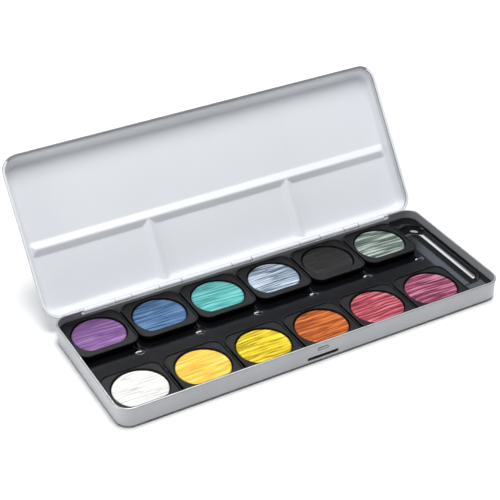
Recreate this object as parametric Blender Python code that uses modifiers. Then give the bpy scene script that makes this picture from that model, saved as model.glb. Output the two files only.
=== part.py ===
"""Twelve-pan watercolour set in a hinged pressed-metal tin, standing open for use.

Metres, +Z up. X runs along the long side, +Y points to the hinge, and the origin is
the centre of the tin's underside. Each physical piece is one object: the base tin,
the lid, the wire that joins them, the moulded insert, twelve square pans and the
twelve pressed cakes of paint in them.
"""

import math

import bmesh
import bpy
from mathutils import Matrix, Vector

MM = 0.001

WELD = 0.002 * MM

# Base tin
SHEET = 0.8 * MM
BASE_LENGTH = 245.0 * MM  # over the rim bead
BASE_WIDTH = 92.6 * MM  # over the rim bead
BASE_HEIGHT = 13.3 * MM
BEAD_RADIUS = 0.7 * MM
BEAD_PROUD = 0.5 * MM  # how far the bead stands out of the wall
BASE_CORNER = 8.5 * MM
BASE_FOOT_ROUND = 1.6 * MM

# Catch pressed into the front wall
SLOT_LENGTH = 19.0 * MM
SLOT_HEIGHT = 0.9 * MM
SLOT_Z = 4.2 * MM
NUB_LENGTH = 6.4 * MM
NUB_HEIGHT = 1.5 * MM
NUB_PROUD = 0.35 * MM
NUB_Z = 8.9 * MM

# Hinge
HINGE_Y = 47.6 * MM
HINGE_Z = 10.7 * MM
OPEN_ANGLE = math.radians(125.0)
PIN_RADIUS = 0.6 * MM
BORE_RADIUS = 0.78 * MM
KNUCKLE_RADIUS = 1.3 * MM
KNUCKLE_GAP = 0.35 * MM
HINGE_WALL_Z = 10.2 * MM  # height of the back wall along the hinge
HINGE_WALL_HALF = 104.4 * MM
PIN_LENGTH = 206.0 * MM
BASE_KNUCKLES = [(7.0 * MM, 40.0 * MM), (55.0 * MM, 72.0 * MM), (83.0 * MM, 102.0 * MM)]  # mirrored in X

# Lid, in its own frame: origin on the hinge axis, closed pose, rim facing down
LID_LENGTH = 247.6 * MM  # over the wall, without the bead
LID_WIDTH = 95.2 * MM
LID_CORNER = 9.8 * MM
LID_SKIRT = 3.6 * MM  # straight part of the wall that passes over the base
LID_SHOULDER = [  # (inset, rise) of each step from the skirt to the flat panel
    (0.6 * MM, 0.5 * MM),
    (0.6 * MM, 1.7 * MM),
    (1.4 * MM, 1.5 * MM),
    (2.0 * MM, 1.0 * MM),
    (2.1 * MM, 0.3 * MM),
]
LID_BEAD_RADIUS = 0.8 * MM
LID_BEAD_Z = 0.6 * MM
LID_DEPTH = LID_SKIRT + sum(rise for _, rise in LID_SHOULDER)

# Ridges pressed into the lid, which part its mixing wells
RIDGE_Y = -40.7 * MM
RIDGE_HALF_LENGTH = 117.0 * MM
RIDGE_WIDTH = 8.0 * MM
RIDGE_CREST = 1.6 * MM
RIDGE_HEIGHT = 3.0 * MM
CROSS_X = 46.7 * MM
CROSS_WIDTH = 7.0 * MM
CROSS_HEIGHT = 2.6 * MM
CROSS_END_Y = -4.5 * MM

# Pans and cakes
COLUMNS = 6
PITCH = 37.5 * MM
FIRST_X = -102.0 * MM
ROW_Y = 26.95 * MM
FLANGE_X = 36.6 * MM
FLANGE_Y = 35.2 * MM
FLANGE_CORNER = 6.6 * MM
FLANGE_THICK = 0.8 * MM
FLANGE_TOP_Z = 9.0 * MM
PAN_FLOOR_Z = 2.2 * MM
BODY_X = 33.5 * MM
BODY_Y = 33.3 * MM
BODY_CORNER = 5.0 * MM
BODY_TAPER = 0.94
WELL_TOP_RADIUS = 16.05 * MM
WELL_BOTTOM_RADIUS = 15.0 * MM
WELL_CHORD = 12.4 * MM  # flat side of the well, on the pan's front
WELL_FLOOR_Z = 3.0 * MM
CAKE_TOP_Z = 8.2 * MM
CAKE_GAP = 0.45 * MM
CAKE_LIFT = 0.3 * MM

# Insert
INSERT_BOTTOM_Z = SHEET + 0.3 * MM
INSERT_TOP_Z = 4.5 * MM
INSERT_LENGTH = 241.8 * MM
INSERT_WIDTH = 89.4 * MM
INSERT_CORNER = 7.3 * MM
POCKET_X = 34.2 * MM
POCKET_Y = 33.9 * MM
POCKET_CORNER = 5.3 * MM
POCKET_FLOOR_Z = 1.9 * MM
BAY_LEFT_X = 104.7 * MM
BAY_WALL_X = 117.4 * MM
BAY_HALF_WIDTH = 36.2 * MM
BAY_RIM_Z = 7.8 * MM
BAY_CORNER = 6.0 * MM
BAY_FILLET = 2.4 * MM

COLOURS = [
    ("violet", (0.30, 0.13, 0.46)),
    ("blue", (0.11, 0.27, 0.60)),
    ("turquoise", (0.16, 0.61, 0.51)),
    ("pale_blue", (0.53, 0.63, 0.78)),
    ("black", (0.038, 0.038, 0.038)),
    ("grey_green", (0.39, 0.46, 0.40)),
    ("white", (0.95, 0.94, 0.90)),
    ("pale_gold", (0.96, 0.72, 0.12)),
    ("lemon", (0.91, 0.72, 0.012)),
    ("orange", (0.80, 0.19, 0.023)),
    ("coral", (0.69, 0.085, 0.147)),
    ("magenta", (0.53, 0.091, 0.212)),
]


def clear_scene():
    for obj in list(bpy.data.objects):
        bpy.data.objects.remove(obj, do_unlink=True)


def collection(name):
    made = bpy.data.collections.new(name)
    bpy.context.scene.collection.children.link(made)
    return made


def material(name, colour, roughness, metallic=0.0, coat=0.0):
    made = bpy.data.materials.new(name)
    made.use_nodes = True
    shader = made.node_tree.nodes["Principled BSDF"]
    shader.inputs["Base Color"].default_value = (*colour, 1.0)
    shader.inputs["Roughness"].default_value = roughness
    shader.inputs["Metallic"].default_value = metallic
    shader.inputs["Coat Weight"].default_value = coat
    made.diffuse_color = (*colour, 1.0)
    return made


def add_object(name, bm, into, finish=None, location=(0, 0, 0), smooth=True):
    """Turn the bmesh into an object, shaded smooth with its hard edges kept sharp."""
    bmesh.ops.recalc_face_normals(bm, faces=bm.faces)
    mesh = bpy.data.meshes.new(name)
    bm.to_mesh(mesh)
    bm.free()
    if smooth:
        mesh.shade_smooth()
        mesh.set_sharp_from_angle(angle=math.radians(35))
    obj = bpy.data.objects.new(name, mesh)
    obj.location = location
    if finish:
        mesh.materials.append(finish)
    into.objects.link(obj)
    return obj


def add_helper(name, bm):
    """A shape that is only joined to or cut from a part."""
    obj = add_object(name, bm, HELPERS, smooth=False)
    obj.hide_render = True
    obj.display_type = "WIRE"
    return obj


def boolean(obj, helper, operation):
    modifier = obj.modifiers.new(f"{operation.lower()}_{helper.name}", "BOOLEAN")
    modifier.operation = operation
    modifier.solver = "EXACT"
    modifier.object = helper
    # The cut leaves points a rounding error apart, which the next one must not see.
    weld = obj.modifiers.new(f"weld_{helper.name}", "WELD")
    weld.merge_threshold = WELD


def block(bm, low, high, corner=0.0, segments=5, foot=0.0, foot_segments=3, taper=1.0):
    """Add a box between two corners, with rounded upright edges, an optional rounded
    lower edge, and a lower face scaled about its own centre."""
    low, high = Vector(low), Vector(high)
    made = bmesh.ops.create_cube(
        bm,
        size=1.0,
        matrix=Matrix.Translation((low + high) / 2) @ Matrix.Diagonal((*(high - low), 1.0)),
    )
    verts = made["verts"]
    if taper != 1.0:
        centre = (low + high) / 2
        for v in verts:
            if v.co.z < centre.z:
                v.co.x = centre.x + (v.co.x - centre.x) * taper
                v.co.y = centre.y + (v.co.y - centre.y) * taper
    edges = {e for v in verts for e in v.link_edges}
    if corner:
        upright = [e for e in edges if abs(e.verts[0].co.z - e.verts[1].co.z) > (high.z - low.z) * 0.9]
        bevelled = bmesh.ops.bevel(
            bm, geom=upright, offset=corner, segments=segments, profile=0.5, affect="EDGES"
        )
        verts = list({v for v in verts if v.is_valid} | set(bevelled["verts"]))
    if foot:
        edges = {e for v in verts for e in v.link_edges}
        lower = [e for e in edges if all(abs(v.co.z - low.z) < 1e-7 for v in e.verts)]
        bmesh.ops.bevel(
            bm, geom=lower, offset=foot, segments=foot_segments, profile=0.5, affect="EDGES"
        )


def rod(bm, x0, x1, radius, y, z, segments=16):
    """Add a cylinder along X. Its flats, not its corners, are what a bore clears."""
    bmesh.ops.create_cone(
        bm,
        cap_ends=True,
        segments=segments,
        radius1=radius,
        radius2=radius,
        depth=x1 - x0,
        matrix=Matrix.Translation(((x0 + x1) / 2, y, z)) @ Matrix.Rotation(math.pi / 2, 4, "Y"),
    )


def d_disc(bm, z0, z1, bottom_radius, top_radius, chord, segments=48):
    """Add a round disc whose front is cut off flat at y = -chord."""
    made = bmesh.ops.create_cone(
        bm,
        cap_ends=True,
        segments=segments,
        radius1=bottom_radius,
        radius2=top_radius,
        depth=z1 - z0,
        matrix=Matrix.Translation((0, 0, (z0 + z1) / 2)) @ Matrix.Rotation(math.pi / segments, 4, "Z"),
    )
    verts = set(made["verts"])
    geom = list(verts) + list({e for v in verts for e in v.link_edges}) + list({f for v in verts for f in v.link_faces})
    cut = bmesh.ops.bisect_plane(
        bm, geom=geom, dist=1e-7, plane_co=(0, -chord, 0), plane_no=(0, -1, 0), clear_outer=True
    )
    edges = [e for e in cut["geom_cut"] if isinstance(e, bmesh.types.BMEdge)]
    bmesh.ops.holes_fill(bm, edges=edges, sides=0)


def frustum(bm, low, high, crest_x, crest_y):
    """Add a box whose lower face shrinks to crest_x by crest_y: a pressed ridge."""
    low, high = Vector(low), Vector(high)
    centre = (low + high) / 2
    size = high - low
    made = bmesh.ops.create_cube(
        bm, size=1.0, matrix=Matrix.Translation(centre) @ Matrix.Diagonal((*size, 1.0))
    )
    for v in made["verts"]:
        if v.co.z < centre.z:
            v.co.x = centre.x + (v.co.x - centre.x) * crest_x / size.x
            v.co.y = centre.y + (v.co.y - centre.y) * crest_y / size.y


def bead(name, length, width, corner, radius, z, centre_y=0.0, segments=6):
    """A round bead that follows a rectangle with rounded corners, as a closed mesh."""
    curve = bpy.data.curves.new(name, "CURVE")
    curve.dimensions = "3D"
    curve.bevel_depth = radius
    curve.bevel_resolution = 2
    points = []
    for quarter, (sx, sy) in enumerate(((1, 1), (-1, 1), (-1, -1), (1, -1))):
        for step in range(segments + 1):
            angle = math.radians(90) * (quarter + step / segments)
            points.append(
                (
                    sx * (length / 2 - corner) + corner * math.cos(angle),
                    centre_y + sy * (width / 2 - corner) + corner * math.sin(angle),
                    z,
                )
            )
    spline = curve.splines.new("POLY")
    spline.points.add(len(points) - 1)
    for target, point in zip(spline.points, points):
        target.co = (*point, 1.0)
    spline.use_cyclic_u = True
    guide = bpy.data.objects.new(name + "_path", curve)
    HELPERS.objects.link(guide)
    bpy.context.view_layer.update()
    mesh = bpy.data.meshes.new_from_object(guide.evaluated_get(bpy.context.evaluated_depsgraph_get()))
    bpy.data.objects.remove(guide, do_unlink=True)
    bm = bmesh.new()
    bm.from_mesh(mesh)
    bpy.data.meshes.remove(mesh)
    bmesh.ops.remove_doubles(bm, verts=bm.verts, dist=1e-6)
    return add_helper(name, bm)


def both_sides(spans):
    return [(-b, -a) for a, b in reversed(spans)] + list(spans)


def lid_knuckle_spans():
    """The stretches between the base's knuckles, less a running gap at each end."""
    edges = both_sides(BASE_KNUCKLES)
    return [(a[1] + KNUCKLE_GAP, b[0] - KNUCKLE_GAP) for a, b in zip(edges, edges[1:])]


def make_base():
    half_x = BASE_LENGTH / 2 - BEAD_PROUD
    half_y = BASE_WIDTH / 2 - BEAD_PROUD
    top = BASE_HEIGHT - BEAD_RADIUS
    bm = bmesh.new()
    block(
        bm, (-half_x, -half_y, 0), (half_x, half_y, top),
        corner=BASE_CORNER, segments=6, foot=BASE_FOOT_ROUND,
    )
    bmesh.ops.recalc_face_normals(bm, faces=bm.faces)
    lid_face = max(bm.faces, key=lambda f: f.calc_center_median().z)
    bmesh.ops.delete(bm, geom=[lid_face], context="FACES_ONLY")
    base = add_object("base_tin", bm, PARTS, material("silver_paint", (0.42, 0.43, 0.45), 0.38, 0.75))
    shell = base.modifiers.new("sheet", "SOLIDIFY")
    shell.thickness = SHEET
    shell.offset = -1
    shell.use_even_offset = True

    inset = BEAD_RADIUS - BEAD_PROUD
    boolean(
        base,
        bead("base_bead", 2 * (half_x - inset), 2 * (half_y - inset), BASE_CORNER - inset, BEAD_RADIUS, top),
        "UNION",
    )

    bm = bmesh.new()
    frustum_low = (-NUB_LENGTH / 2, -half_y - NUB_PROUD, NUB_Z - NUB_HEIGHT / 2)
    block(bm, frustum_low, (NUB_LENGTH / 2, -half_y + SHEET / 2, NUB_Z + NUB_HEIGHT / 2))
    boolean(base, add_helper("catch_nub", bm), "UNION")

    # The back wall is lower along the hinge, and the knuckles are rolled from its cut edge.
    bm = bmesh.new()
    block(
        bm,
        (-HINGE_WALL_HALF, half_y - SHEET - 0.6 * MM, HINGE_WALL_Z),
        (HINGE_WALL_HALF, half_y + 3 * MM, BASE_HEIGHT + 3 * MM),
    )
    boolean(base, add_helper("hinge_gap", bm), "DIFFERENCE")

    bm = bmesh.new()
    for x0, x1 in both_sides(BASE_KNUCKLES):
        block(
            bm,
            (x0 + 0.2 * MM, half_y - SHEET / 2, HINGE_Z - 1.1 * MM),
            (x1 - 0.2 * MM, HINGE_Y, HINGE_Z - 0.1 * MM),
        )
    boolean(base, add_helper("knuckle_webs", bm), "UNION")
    bm = bmesh.new()
    for x0, x1 in both_sides(BASE_KNUCKLES):
        rod(bm, x0, x1, KNUCKLE_RADIUS, HINGE_Y, HINGE_Z)
    boolean(base, add_helper("base_knuckles", bm), "UNION")
    bm = bmesh.new()
    rod(bm, -PIN_LENGTH, PIN_LENGTH, BORE_RADIUS, HINGE_Y, HINGE_Z)
    boolean(base, add_helper("base_bore", bm), "DIFFERENCE")

    bm = bmesh.new()
    block(
        bm,
        (-SLOT_LENGTH / 2, -half_y - 2 * MM, SLOT_Z - SLOT_HEIGHT / 2),
        (SLOT_LENGTH / 2, -half_y + SHEET + 0.15 * MM, SLOT_Z + SLOT_HEIGHT / 2),
    )
    boolean(base, add_helper("catch_slot", bm), "DIFFERENCE")
    return base


def make_pin():
    bm = bmesh.new()
    rod(bm, -PIN_LENGTH / 2, PIN_LENGTH / 2, PIN_RADIUS, 0, 0, segments=12)
    return add_object(
        "hinge_pin", bm, PARTS, material("wire_steel", (0.50, 0.51, 0.52), 0.3, 1.0),
        location=(0, HINGE_Y, HINGE_Z),
    )


def make_lid():
    half_x = LID_LENGTH / 2
    bm = bmesh.new()
    block(
        bm, (-half_x, -LID_WIDTH, LID_BEAD_Z), (half_x, 0, LID_SKIRT), corner=LID_CORNER, segments=6
    )
    bmesh.ops.recalc_face_normals(bm, faces=bm.faces)
    panel = max(bm.faces, key=lambda f: f.calc_center_median().z)
    for inset, rise in LID_SHOULDER:
        bmesh.ops.inset_region(
            bm, faces=[panel], thickness=inset, depth=rise, use_even_offset=True, use_boundary=True
        )
    mouth = min(bm.faces, key=lambda f: f.calc_center_median().z)
    bmesh.ops.delete(bm, geom=[mouth], context="FACES_ONLY")
    lid = add_object(
        "lid", bm, PARTS, material("white_enamel", (0.80, 0.81, 0.83), 0.25, 0.0, coat=0.5),
        location=(0, HINGE_Y, HINGE_Z),
    )
    lid.rotation_euler = (-OPEN_ANGLE, 0, 0)
    shell = lid.modifiers.new("sheet", "SOLIDIFY")
    shell.thickness = SHEET
    shell.offset = -1
    shell.use_even_offset = True

    helpers = []
    inset = 0.1 * MM
    helpers.append(
        (
            bead(
                "lid_bead", LID_LENGTH - 2 * inset, LID_WIDTH - 2 * inset, LID_CORNER - inset,
                LID_BEAD_RADIUS, LID_BEAD_Z, centre_y=-LID_WIDTH / 2,
            ),
            "UNION",
        )
    )
    panel_z = LID_DEPTH - SHEET
    sink = 0.4 * MM
    bm = bmesh.new()
    frustum(
        bm,
        (-RIDGE_HALF_LENGTH, RIDGE_Y - RIDGE_WIDTH / 2, panel_z - RIDGE_HEIGHT),
        (RIDGE_HALF_LENGTH, RIDGE_Y + RIDGE_WIDTH / 2, panel_z + sink),
        2 * RIDGE_HALF_LENGTH - RIDGE_WIDTH, RIDGE_CREST,
    )
    helpers.append((add_helper("long_ridge", bm), "UNION"))
    bm = bmesh.new()
    for side in (-1, 1):
        frustum(
            bm,
            (side * CROSS_X - CROSS_WIDTH / 2, RIDGE_Y, panel_z - CROSS_HEIGHT),
            (side * CROSS_X + CROSS_WIDTH / 2, CROSS_END_Y, panel_z + sink),
            1.4 * MM, CROSS_END_Y - RIDGE_Y - 3 * MM,
        )
    helpers.append((add_helper("cross_ridges", bm), "UNION"))

    # The sheet is one thickness, so each ridge is a groove outside.
    outside = LID_DEPTH + 0.5 * MM
    bm = bmesh.new()
    frustum(
        bm,
        (-RIDGE_HALF_LENGTH + 1 * MM, RIDGE_Y - RIDGE_WIDTH / 2 + 0.5 * MM, panel_z - RIDGE_HEIGHT + SHEET),
        (RIDGE_HALF_LENGTH - 1 * MM, RIDGE_Y + RIDGE_WIDTH / 2 - 0.5 * MM, outside),
        2 * RIDGE_HALF_LENGTH - RIDGE_WIDTH, 0.8 * MM,
    )
    helpers.append((add_helper("long_groove", bm), "DIFFERENCE"))
    bm = bmesh.new()
    for side in (-1, 1):
        frustum(
            bm,
            (side * CROSS_X - CROSS_WIDTH / 2 + 0.5 * MM, RIDGE_Y + 0.8 * MM, panel_z - CROSS_HEIGHT + SHEET),
            (side * CROSS_X + CROSS_WIDTH / 2 - 0.5 * MM, CROSS_END_Y - 1 * MM, outside),
            0.6 * MM, CROSS_END_Y - RIDGE_Y - 5 * MM,
        )
    helpers.append((add_helper("cross_grooves", bm), "DIFFERENCE"))

    bm = bmesh.new()
    for x0, x1 in both_sides(BASE_KNUCKLES):
        rod(bm, x0 - KNUCKLE_GAP, x1 + KNUCKLE_GAP, KNUCKLE_RADIUS + KNUCKLE_GAP, 0, 0)
    helpers.append((add_helper("lid_notches", bm), "DIFFERENCE"))
    bm = bmesh.new()
    for x0, x1 in lid_knuckle_spans():
        rod(bm, x0, x1, KNUCKLE_RADIUS, 0, 0)
    helpers.append((add_helper("lid_knuckles", bm), "UNION"))
    bm = bmesh.new()
    rod(bm, -PIN_LENGTH / 2 - 0.6 * MM, PIN_LENGTH / 2 + 0.6 * MM, BORE_RADIUS, 0, 0)
    helpers.append((add_helper("lid_bore", bm), "DIFFERENCE"))
    for helper, operation in helpers:
        helper.parent = lid  # helpers are drawn in the lid's own frame
        boolean(lid, helper, operation)
    return lid


def make_insert():
    bm = bmesh.new()
    block(
        bm,
        (-INSERT_LENGTH / 2, -INSERT_WIDTH / 2, INSERT_BOTTOM_Z),
        (INSERT_LENGTH / 2, INSERT_WIDTH / 2, BAY_RIM_Z),
        corner=INSERT_CORNER, segments=5,
    )
    insert = add_object("insert_tray", bm, PARTS, material("black_insert", (0.012, 0.012, 0.014), 0.16))

    # Everything left of the bay comes down to the plateau, and the bay itself too.
    bm = bmesh.new()
    block(
        bm,
        (-INSERT_LENGTH / 2 - 2 * MM, -INSERT_WIDTH / 2 - 2 * MM, INSERT_TOP_Z),
        (BAY_LEFT_X, INSERT_WIDTH / 2 + 2 * MM, BAY_RIM_Z + 2 * MM),
    )
    boolean(insert, add_helper("plateau_cut", bm), "DIFFERENCE")
    bm = bmesh.new()
    block(
        bm,
        (BAY_LEFT_X - 12 * MM, -BAY_HALF_WIDTH, INSERT_TOP_Z),
        (BAY_WALL_X, BAY_HALF_WIDTH, BAY_RIM_Z + 2 * MM),
        corner=BAY_CORNER, segments=4, foot=BAY_FILLET, foot_segments=2,
    )
    boolean(insert, add_helper("bay_cut", bm), "DIFFERENCE")

    bm = bmesh.new()
    for x, y in pan_places():
        block(
            bm,
            (x - POCKET_X / 2, y - POCKET_Y / 2, POCKET_FLOOR_Z),
            (x + POCKET_X / 2, y + POCKET_Y / 2, INSERT_TOP_Z + 2 * MM),
            corner=POCKET_CORNER, segments=3,
        )
    boolean(insert, add_helper("pockets", bm), "DIFFERENCE")

    bm = bmesh.new()
    half_strip = ROW_Y - POCKET_Y / 2 - SHEET
    block(
        bm,
        (-INSERT_LENGTH / 2 + 3 * MM, -half_strip, INSERT_BOTTOM_Z - 2 * MM),
        (BAY_LEFT_X - 1.2 * MM, half_strip, INSERT_TOP_Z - SHEET),
    )
    block(
        bm,
        (BAY_LEFT_X, -BAY_HALF_WIDTH, INSERT_BOTTOM_Z - 2 * MM),
        (BAY_WALL_X, BAY_HALF_WIDTH, INSERT_TOP_Z - SHEET),
    )
    boolean(insert, add_helper("hollow_under", bm), "DIFFERENCE")
    return insert


def pan_places():
    """Back row first, left to right, then the front row."""
    return [(FIRST_X + i * PITCH, y) for y in (ROW_Y, -ROW_Y) for i in range(COLUMNS)]


def make_pans():
    finish = material("black_pan", (0.020, 0.020, 0.022), 0.30)
    bm = bmesh.new()
    d_disc(
        bm, WELL_FLOOR_Z, FLANGE_TOP_Z + 1 * MM,
        WELL_BOTTOM_RADIUS,
        WELL_TOP_RADIUS + 1 * MM * (WELL_TOP_RADIUS - WELL_BOTTOM_RADIUS) / (FLANGE_TOP_Z - WELL_FLOOR_Z),
        WELL_CHORD,
    )
    well = add_helper("pan_well", bm)
    bm = bmesh.new()
    block(
        bm,
        (-FLANGE_X / 2, -FLANGE_Y / 2, FLANGE_TOP_Z - FLANGE_THICK),
        (FLANGE_X / 2, FLANGE_Y / 2, FLANGE_TOP_Z),
        corner=FLANGE_CORNER, segments=4,
    )
    flange = add_helper("pan_flange", bm)
    bm = bmesh.new()
    block(
        bm,
        (-BODY_X / 2, -BODY_Y / 2, PAN_FLOOR_Z),
        (BODY_X / 2, BODY_Y / 2, FLANGE_TOP_Z - FLANGE_THICK / 2),
        corner=BODY_CORNER, segments=3, taper=BODY_TAPER,
    )
    first = add_object("pan_01", bm, PARTS, finish)
    mesh = first.data
    chord = WELL_CHORD - CAKE_GAP
    pans = []
    for index, (x, y) in enumerate(pan_places()):
        pan = first if index == 0 else bpy.data.objects.new(f"pan_{index + 1:02d}", mesh)
        if index:
            PARTS.objects.link(pan)
        pan.location = (x, y, 0)
        # A Boolean works in world space, so each pan has helpers at its own place.
        for helper, operation in ((flange, "UNION"), (well, "DIFFERENCE")):
            own = bpy.data.objects.new(f"{helper.name}_{index + 1:02d}", helper.data)
            own.hide_render = True
            own.display_type = "WIRE"
            own.parent = pan
            HELPERS.objects.link(own)
            boolean(pan, own, operation)
        name, colour = COLOURS[index]
        bm = bmesh.new()
        d_disc(
            bm, WELL_FLOOR_Z + CAKE_LIFT, CAKE_TOP_Z,
            WELL_BOTTOM_RADIUS - CAKE_GAP, WELL_TOP_RADIUS - CAKE_GAP, chord, segments=40,
        )
        cake = add_object(
            f"cake_{name}", bm, PARTS, material(f"paint_{name}", colour, 0.45, 0.25)
        )
        cake.parent = pan
        pans.append(pan)
    bpy.data.objects.remove(flange, do_unlink=True)
    bpy.data.objects.remove(well, do_unlink=True)
    return pans


clear_scene()
PARTS = collection("watercolor_pan_set")
HELPERS = collection("cutters_and_joins")
HELPERS.hide_render = True
make_base()
make_pin()
make_lid()
make_insert()
make_pans()
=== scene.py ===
import math

import bmesh
import bpy
import numpy as np
from mathutils import Euler, Matrix, Vector
from mathutils.geometry import delaunay_2d_cdt


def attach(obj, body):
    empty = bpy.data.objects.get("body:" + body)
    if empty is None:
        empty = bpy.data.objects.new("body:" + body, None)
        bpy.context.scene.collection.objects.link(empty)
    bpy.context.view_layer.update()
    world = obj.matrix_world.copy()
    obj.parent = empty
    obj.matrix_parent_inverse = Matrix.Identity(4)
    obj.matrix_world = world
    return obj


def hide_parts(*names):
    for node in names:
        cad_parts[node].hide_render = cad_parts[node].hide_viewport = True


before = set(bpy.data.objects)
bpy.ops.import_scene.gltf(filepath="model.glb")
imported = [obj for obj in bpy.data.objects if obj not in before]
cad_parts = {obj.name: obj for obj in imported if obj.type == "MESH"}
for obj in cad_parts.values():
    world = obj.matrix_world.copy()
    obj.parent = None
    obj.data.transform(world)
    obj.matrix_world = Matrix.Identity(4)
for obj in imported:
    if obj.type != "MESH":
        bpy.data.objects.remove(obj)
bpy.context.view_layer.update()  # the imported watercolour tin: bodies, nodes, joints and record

MM = 0.001

# ----------------------------------------------------------------------------------
# Dimensions, in millimetres, shared with the CAD part
# ----------------------------------------------------------------------------------
WALL_X, WALL_Y = 122.0, 45.8  # outer faces of the base's walls
SHEET = 0.8
BASE_CORNER = 8.5
FOOT_ROUND, FOOT_GAP = 0.9, 1.0  # the wall's foot stands a little clear of the ground
BEAD_R, BEAD_PROUD, BASE_TOP = 0.7, 0.497, 13.3
HINGE_Y, HINGE_Z = 47.6, 10.7
OPEN_ANGLE = math.radians(125.0)
KNUCKLE_R, BORE_R, PIN_R = 1.3, 0.78, 0.6
BASE_KNUCKLES = [(7.0, 40.0), (55.0, 72.0), (83.0, 102.0)]
KNUCKLE_GAP = 0.35
HINGE_CUT, HINGE_WALL = 104.4, 10.2  # half length of the lowered back wall, and its height
LID_X, LID_S = 123.8, 95.2  # half length and full width over the lid's wall
LID_CORNER = 9.8
LID_DEPTH = 8.6
LID_FILLET = 6.9  # inset at which the lid's flat panel begins
RIDGE_S, RIDGE_HALF, RIDGE_W, RIDGE_H = 40.7, 120.2, 4.3, 2.6
CROSS_X, CROSS_W, CROSS_H = 46.7, 4.3, 2.4
PITCH, FIRST_X, ROW_Y = 37.5, -102.0, 26.95
COLOURS = [
    "violet", "blue", "turquoise", "pale_blue", "black", "grey_green",
    "white", "pale_gold", "lemon", "orange", "coral", "magenta",
]


def both_sides(spans):
    return [(-b, -a) for a, b in reversed(spans)] + list(spans)


BASE_SPANS = both_sides(BASE_KNUCKLES)
LID_SPANS = [
    (a[1] + KNUCKLE_GAP, b[0] - KNUCKLE_GAP) for a, b in zip(BASE_SPANS, BASE_SPANS[1:])
]


def pan_places():
    """Back row first, left to right, then the front row."""
    return [(FIRST_X + i * PITCH, y) for y in (ROW_Y, -ROW_Y) for i in range(6)]


# ----------------------------------------------------------------------------------
# Mesh helpers: rings of points, bridged into shells
# ----------------------------------------------------------------------------------
class Shell:
    """Collects rings of points and the faces between them. Lengths are in millimetres."""

    def __init__(self):
        self.points, self.faces, self.slots = [], [], []

    def ring(self, points):
        start = len(self.points)
        self.points.extend(tuple(map(float, p)) for p in points)
        return list(range(start, len(self.points)))

    def face(self, indices, slot=0):
        self.faces.append(tuple(indices))
        self.slots.append(slot)

    def bridge(self, a, b, slot=0, closed=True):
        n = len(a)
        for i in range(n if closed else n - 1):
            j = (i + 1) % n
            self.face((a[i], a[j], b[j], b[i]), slot)

    def grid(self, rows, slot=0, closed=True):
        for a, b in zip(rows, rows[1:]):
            self.bridge(a, b, slot, closed)

    def fan(self, ring, point, slot=0):
        centre = self.ring([point])[0]
        n = len(ring)
        for i in range(n):
            self.face((ring[i], ring[(i + 1) % n], centre), slot)

    def make(self, name, materials, matrix=None, angle=40.0, weighted=True):
        mesh = bpy.data.meshes.new(name)
        mesh.from_pydata([(x * MM, y * MM, z * MM) for x, y, z in self.points], [], self.faces)
        for m in materials:
            mesh.materials.append(m)
        mesh.polygons.foreach_set("material_index", self.slots)
        bm = bmesh.new()
        bm.from_mesh(mesh)
        bmesh.ops.remove_doubles(bm, verts=bm.verts, dist=1e-7)
        bmesh.ops.recalc_face_normals(bm, faces=bm.faces)
        bm.to_mesh(mesh)
        bm.free()
        if matrix is not None:
            mesh.transform(matrix)
        return finish_mesh(name, mesh, angle, weighted)


def finish_mesh(name, mesh, angle=40.0, weighted=True):
    mesh.shade_smooth()
    mesh.set_sharp_from_angle(angle=math.radians(angle))
    obj = bpy.data.objects.new(name, mesh)
    bpy.context.scene.collection.objects.link(obj)
    if weighted:
        modifier = obj.modifiers.new("flats", "WEIGHTED_NORMAL")
        modifier.mode = "FACE_AREA"
        modifier.keep_sharp = True
    return obj


def rounded_path(corners, step=9.0):
    """A polyline through (a, b, radius) corners, each rounded by an arc with a point every `step` degrees."""
    pts = [Vector(c[:2]) for c in corners]
    out = [pts[0]]
    for i in range(1, len(corners) - 1):
        p, r = pts[i], corners[i][2]
        u, v = (pts[i - 1] - p).normalized(), (pts[i + 1] - p).normalized()
        half = u.angle(v) / 2
        if r <= 0 or half > math.radians(89.5):
            out.append(p)
            continue
        back = r / math.tan(half)
        start, end = p + u * back, p + v * back
        centre = p + (u + v).normalized() * (r / math.sin(half))
        a, b = start - centre, end - centre
        turn = a.angle(b)
        n = max(2, int(math.degrees(turn) / step) + 1)
        for k in range(n + 1):
            t = k / n
            out.append(centre + (a * math.sin((1 - t) * turn) + b * math.sin(t * turn)) / math.sin(turn))
    out.append(pts[-1])
    return [(q.x, q.y) for q in out]


def loop_points(half_x, y0, y1, corner, inset, corner_n, xs, ys):
    """A rounded rectangle drawn in by `inset`, counter-clockwise from its front left. xs and ys place the
    points along the straight sides, and stay put as the inset grows."""
    r = max(corner - inset, 0.05)
    cx, cy0, cy1 = half_x - corner, y0 + corner, y1 - corner
    extra = corner - inset - r
    pts = [(x, y0 + inset) for x in xs]
    out = list(pts)
    for a0, sx, cy in ((-90, 1, cy0), (0, 1, cy1), (90, -1, cy1), (180, -1, cy0)):
        arc = []
        for k in range(corner_n + 1):
            a = math.radians(a0 + 90 * k / corner_n)
            arc.append((sx * (cx + extra) + r * math.cos(a), cy + r * math.sin(a)))
        out.extend(arc)
        if a0 == -90:
            out.extend((half_x - inset, y) for y in ys)
        elif a0 == 0:
            out.extend((x, y1 - inset) for x in reversed(xs))
        elif a0 == 90:
            out.extend((-half_x + inset, y) for y in reversed(ys))
    return out


def between(low, high, step):
    n = max(2, int(round((high - low) / step)))
    return [low + (high - low) * k / n for k in range(1, n)]


def sdf_rect(x, y, half_x, half_y, corner):
    qx, qy = np.abs(x) - half_x + corner, np.abs(y) - half_y + corner
    return np.minimum(np.maximum(qx, qy), 0) + np.hypot(np.maximum(qx, 0), np.maximum(qy, 0)) - corner


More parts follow.
